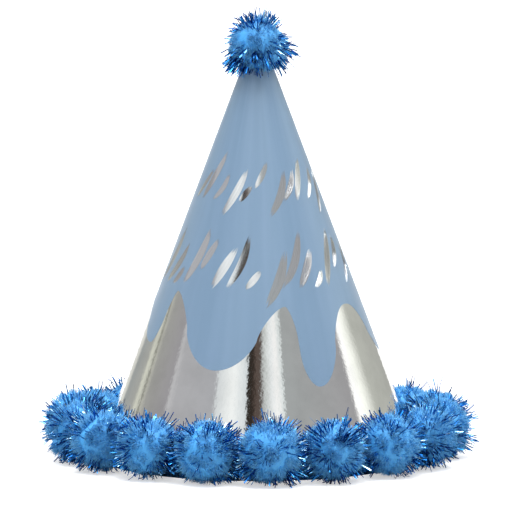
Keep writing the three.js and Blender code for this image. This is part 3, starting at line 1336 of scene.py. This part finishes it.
    def build_tinsel(self, strip: Strand) -> bpy.types.Object:
        """Lays the strips in loose bundles, some of them well past the fluff.

        Args:
            strip: The strand that stands for a strip.

        Returns:
            The tinsel.
        """
        rng = np.random.default_rng(self.seed + 500)
        pick_of = rng.integers(0, self.bundles, self.strips)
        aim = unit(self.bundle_aims()[pick_of] + rng.normal(scale=0.15, size=(self.strips, 3)))
        tip_aim = unit(aim + rng.normal(scale=0.07, size=aim.shape))
        bundle_reach = rng.uniform(1.08, 1.30, self.bundles)[pick_of]
        tip = self.fluff * bundle_reach * (1 + rng.normal(scale=0.05, size=self.strips))
        tip[: self.strays] = self.fluff * rng.uniform(1.35, 1.55, self.strays)
        line, side, lift = self.strands(rng, aim, tip_aim, 0.6 * self.fluff, tip, strip.steps, twist=2.0)
        # The slit film is about 0.4 mm wide and 0.02 mm thick; its thickness is drawn coarser.
        width = np.repeat(rng.uniform(0.16, 0.24, (self.strips, 1)) * MM, strip.steps + 1, 1)
        width[: self.strays] *= 0.6
        thickness = np.full_like(width, 0.03 * MM)
        lot = rng.uniform(0.0, 1.0, self.strips)
        return strip.lay(self.name + "_tinsel", line, side, lift, width, thickness, lot)


@dataclass
class PompomTrim:
    """All the pompoms with their ties and glue: a ring of them round the rim, and one on the tip."""

    fibre: Strand
    strip: Strand
    back: float = 20 * MM  # pompoms further back than this are a little smaller and lower
    back_shrink: float = 0.05
    back_drop: float = 1.6 * MM

    @staticmethod
    def core_of(name: str) -> np.ndarray:
        """The middle of a pompom, where its tie is."""
        low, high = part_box(name.replace("pompom", "pompom_tie"))
        return np.array((low + high) / 2)

    def pompoms(self) -> list[Pompom]:
        """Sizes one pompom for each packed one.

        Returns:
            The rim's pompoms in the order of their names, and the tip's.
        """
        rim = sorted(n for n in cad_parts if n.startswith("rim_pompom_") and "tie" not in n)
        cores = [self.core_of(name) for name in rim]
        rng = np.random.default_rng(41)
        made = []
        for i, name in enumerate(rim):
            towards = [cores[(i + step) % len(rim)] - cores[i] for step in (-1, 1)]
            behind = cores[i][1] > self.back
            made.append(
                Pompom(
                    name=name,
                    core=cores[i],
                    seed=i + 1,
                    neighbours=tuple(unit(t) for t in towards),
                    half_gap=float(np.linalg.norm(towards[0])) / 2,
                    fluff=Pompom.fluff * (rng.uniform(0.98, 1.05) - self.back_shrink * behind),
                    sag=tuple(rng.uniform(-0.5, 0.5, 3) * MM - np.array([0, 0, self.back_drop]) * behind),
                    squat=rng.uniform(0.94, 1.02),
                )
            )
        tip = "tip_pompom"
        made.append(
            Pompom(
                name=tip,
                core=self.core_of(tip),
                seed=25,
                on_floor=False,
                fluff=11.3 * MM,
                sag=(0.4 * MM, 0.0, -1.8 * MM),
                squat=0.9,
                droop=0.24,
                bundles=44,
                combed=(
                    *((math.cos(a), math.sin(a), -0.6) for a in np.radians(range(0, 360, 30))),
                    *((-0.55, -0.3, 1.0), (-0.35, -0.2, 1.0), (-0.25, 0.3, 1.0)) * 2,
                ),
            )
        )
        return made

    def build(self) -> None:
        """Builds every pompom and dresses it, its tie and its glue."""
        fibre, tinsel = DyedFibre().material(), TinselFilm().material()
        for pompom in self.pompoms():
            fluff = pompom.build_fluff(self.fibre)
            finish_piece(fluff, fibre, (pompom.name,))
            strips = pompom.build_tinsel(self.strip)
            finish_piece(strips, tinsel, (pompom.name,))
        self.dress("tie", TwistedThread().material())
        self.dress("glue", HotMeltGlue().material())

    @staticmethod
    def dress(word: str, material: bpy.types.Material) -> None:
        """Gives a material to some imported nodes.

        Args:
            word: What their names have in common.
            material: The material.
        """
        for name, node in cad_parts.items():
            if word in name:
                node.data.materials.clear()
                node.data.materials.append(material)
                LOG.info("%s: dressed", name)


# -------------------------------------------------------------------------------------------------------
# Studio
# -------------------------------------------------------------------------------------------------------


@dataclass(frozen=True)
class Stop:
    """The room's brightness in one direction, seen from the hat."""

    azimuth: float  # degrees from the front towards +X
    colour: str
    gain: float = 1.0


@dataclass
class Studio:
    """A white floor and a soft grey room.

    Upright softboxes and a dark flag show in the mirror film as streaks. A wide soft light is overhead, a
    small lamp gives the tinsel its sparkle, and two lamps at the sides, which the film doesn't show, fill in.
    """

    walls: tuple = (
        Stop(-166, "a6a6a2"), Stop(-162, "e9e9e4"), Stop(-150, "dcdcd6"), Stop(-146, "a2a6a6"),
        Stop(-129, "acada9"), Stop(-125, "d9dacd"), Stop(-121, "c9cabf"), Stop(-119, "7f7f78"),
        Stop(-117, "bdbdb4"), Stop(-112, "a4a4a1"), Stop(-87, "a09ea2"), Stop(-84, "c4c4c7"),
        Stop(-79, "b5b5b9"), Stop(-40, "b2b3b8"), Stop(-38, "dadfe2"), Stop(-22, "fcffff"),
        Stop(-10, "dde4e8"), Stop(-8.5, "34302c"), Stop(-4, "352d28"), Stop(-1, "62554f"),
        Stop(2.5, "574c47"), Stop(4.2, "a9aaaa"), Stop(7, "d0d5d4"), Stop(13, "f2f6f8"), Stop(17, "ffffff"),
        Stop(23.5, "e2e9ea"), Stop(25, "a9adae"), Stop(91, "a6a5a8"), Stop(95, "ffffff", 1.25),
        Stop(105, "fdfff8", 1.1), Stop(118, "bec0b9"), Stop(180, "a6a6a2"),
    )
    overhead: float = 6.2  # brightness of the light overhead
    overhead_from: float = 0.80  # height in the sky, from 0 to 1, where it begins, and where it is full
    overhead_full: float = 0.95
    floor_dark: str = "cacaca"
    floor_light: str = "cecece"
    floor_lift: float = 0.54  # how much lighter the floor is to the camera than to the hat
    floor_below: float = 0.05 * MM
    lit_height: float = 0.05  # what the lamps are turned towards
    camera_elevation: float = 7.0
    camera_distance: float = 2.0
    frame_width: float = 0.190
    aim: tuple = (-0.0006, 0.0, 0.0747)

    def build_camera(self) -> None:
        """Puts a long lens a little above level, straight in front."""
        elevation = math.radians(self.camera_elevation)
        camera = bpy.data.cameras.new("camera")
        camera.lens = camera.sensor_width * self.camera_distance / self.frame_width
        stand = bpy.data.objects.new("camera", camera)
        bpy.context.scene.collection.objects.link(stand)
        back = Vector((0, -math.cos(elevation), math.sin(elevation)))
        stand.location = Vector(self.aim) + self.camera_distance * back
        stand.rotation_euler = (-back).to_track_quat("-Z", "Y").to_euler()
        bpy.context.scene.camera = stand

    def build_room(self) -> None:
        """Draws the walls by azimuth and the overhead light by height. The camera sees white paper."""
        world = bpy.data.worlds.new("studio_room")
        bpy.context.scene.world = world
        world.use_nodes = True
        tree = world.node_tree
        tree.nodes.clear()
        heading = add_node(tree, "ShaderNodeTexCoord").outputs["Generated"]
        parts = add_node(tree, "ShaderNodeSeparateXYZ", {"Vector": heading})
        front = add_node(tree, "ShaderNodeMath", {0: parts.outputs["Y"], 1: -1.0}, operation="MULTIPLY")
        turn = add_node(
            tree, "ShaderNodeMath", {0: parts.outputs["X"], 1: front.outputs[0]}, operation="ARCTAN2"
        )
        share = add_node(
            tree, "ShaderNodeMapRange", {"Value": turn.outputs[0], "From Min": -math.pi, "From Max": math.pi}
        )
        stops = {}
        for stop in self.walls:
            colour = [part * stop.gain for part in linear(stop.colour)[:3]]
            stops[(stop.azimuth + 180) / 360] = (*colour, 1.0)
        walls = add_node(tree, "ShaderNodeValToRGB", {"Fac": share.outputs["Result"]}, stops=stops)
        high = add_node(
            tree,
            "ShaderNodeMapRange",
            {"Value": parts.outputs["Z"], "From Min": self.overhead_from, "From Max": self.overhead_full},
            interpolation_type="SMOOTHSTEP",
        )
        lamp = (self.overhead, self.overhead, self.overhead, 1.0)
        room = add_node(
            tree,
            "ShaderNodeMix",
            {0: high.outputs["Result"], 6: walls.outputs["Color"], 7: lamp},
            data_type="RGBA",
        )
        seen = add_node(tree, "ShaderNodeBackground", {"Color": room.outputs[2]})
        paper = add_node(tree, "ShaderNodeBackground", {"Color": (1, 1, 1, 1)})
        path = add_node(tree, "ShaderNodeLightPath")
        mix = add_node(
            tree,
            "ShaderNodeMixShader",
            {0: path.outputs["Is Camera Ray"], 1: seen.outputs[0], 2: paper.outputs[0]},
        )
        output = add_node(tree, "ShaderNodeOutputWorld")
        tree.links.new(mix.outputs[0], output.inputs["Surface"])

    def build_floor(self) -> None:
        """Lays the white floor, which catches a soft shadow."""
        deselect_all()
        bpy.ops.mesh.primitive_plane_add(size=60, location=(0, 0, -self.floor_below))
        floor = bpy.context.object
        floor.name = "floor"
        material, tree = new_material("white_floor")
        place = add_node(tree, "ShaderNodeTexCoord").outputs["Object"]
        mottle = add_node(tree, "ShaderNodeTexNoise", {"Vector": place, "Scale": 20.0})
        colour = add_node(
            tree,
            "ShaderNodeValToRGB",
            {"Fac": mottle.outputs["Fac"]},
            stops={0.3: linear(self.floor_dark), 0.7: linear(self.floor_light)},
        )
        path = add_node(tree, "ShaderNodeLightPath")
        lift = add_node(
            tree,
            "ShaderNodeMath",
            {0: path.outputs["Is Camera Ray"], 1: self.floor_lift},
            operation="MULTIPLY",
        )
        shader = add_node(
            tree,
            "ShaderNodeBsdfPrincipled",
            {
                "Base Color": colour.outputs["Color"],
                "Roughness": 0.9,
                "Emission Color": (1, 1, 1, 1),
                "Emission Strength": lift.outputs[0],
            },
        )
        show(tree, shader)
        floor.data.materials.append(material)

    def build_lamp(self, name: str, place: Vector, size: float, power: float, seen: bool = True) -> None:
        """Hangs a round lamp that shines on the hat.

        Args:
            name: Its name.
            place: Where it hangs.
            size: Its diameter.
            power: Its power in watts.
            seen: Whether the mirror film shows it.
        """
        light = bpy.data.lights.new(name, "AREA")
        light.shape = "DISK"
        light.size = size
        light.energy = power
        lamp = bpy.data.objects.new(name, light)
        bpy.context.scene.collection.objects.link(lamp)
        lamp.location = place
        lamp.rotation_euler = (Vector((0, 0, self.lit_height)) - place).to_track_quat("-Z", "Y").to_euler()
        lamp.visible_camera = False
        lamp.visible_glossy = seen

    def build(self) -> None:
        """Sets up the whole studio."""
        bpy.context.scene.view_settings.view_transform = "Standard"
        self.build_camera()
        self.build_room()
        self.build_floor()
        self.build_lamp("softbox", Vector((0.7, -1.0, 2.1)), 0.9, 12.0)
        self.build_lamp("sparkle", Vector((-0.5, -0.9, 1.9)), 0.1, 3.5)
        self.build_lamp("left_fill", Vector((-1.6, 0.3, 0.7)), 1.2, 6.0, seen=False)
        self.build_lamp("right_fill", Vector((1.6, 0.3, 0.7)), 1.2, 5.0, seen=False)


def main() -> None:
    """Builds the studio and the hat."""
    logging.basicConfig(level=logging.INFO, format="%(name)s %(message)s")
    Studio().build()
    RolledCone().build()
    foil = StampedFoil().material()
    bristle = Strand(Section.FLAT, 14)
    rows = (
        BrushRow(
            name="upper_brush_marks",
            middle_height=103.5 * MM,
            first=-72,
            last=66,
            pitch=5.1 * MM,
            body=13 * MM,
            stroke=2.4 * MM,
            order=(Mark.LEAF, Mark.TALL, Mark.LEAF, Mark.LONG, Mark.SEED, Mark.HIGH, Mark.LONG),
            seed=5,
        ),
        BrushRow(
            name="lower_brush_marks",
            middle_height=74 * MM,
            first=-84,
            last=74,
            pitch=6.2 * MM,
            body=16 * MM,
            stroke=3.1 * MM,
            order=(
                *(Mark.TALL, Mark.LEAF, Mark.SEED, Mark.TALL, Mark.HIGH),
                *(Mark.LEAF, Mark.TALL, Mark.SEED, Mark.LONG),
            ),
            seed=9,
        ),
    )
    for row in rows:
        row.build(foil, bristle)
    PompomTrim(Strand(Section.ROUND, 2), Strand(Section.FLAT, 3)).build()


if __name__ == "__main__":
    main()
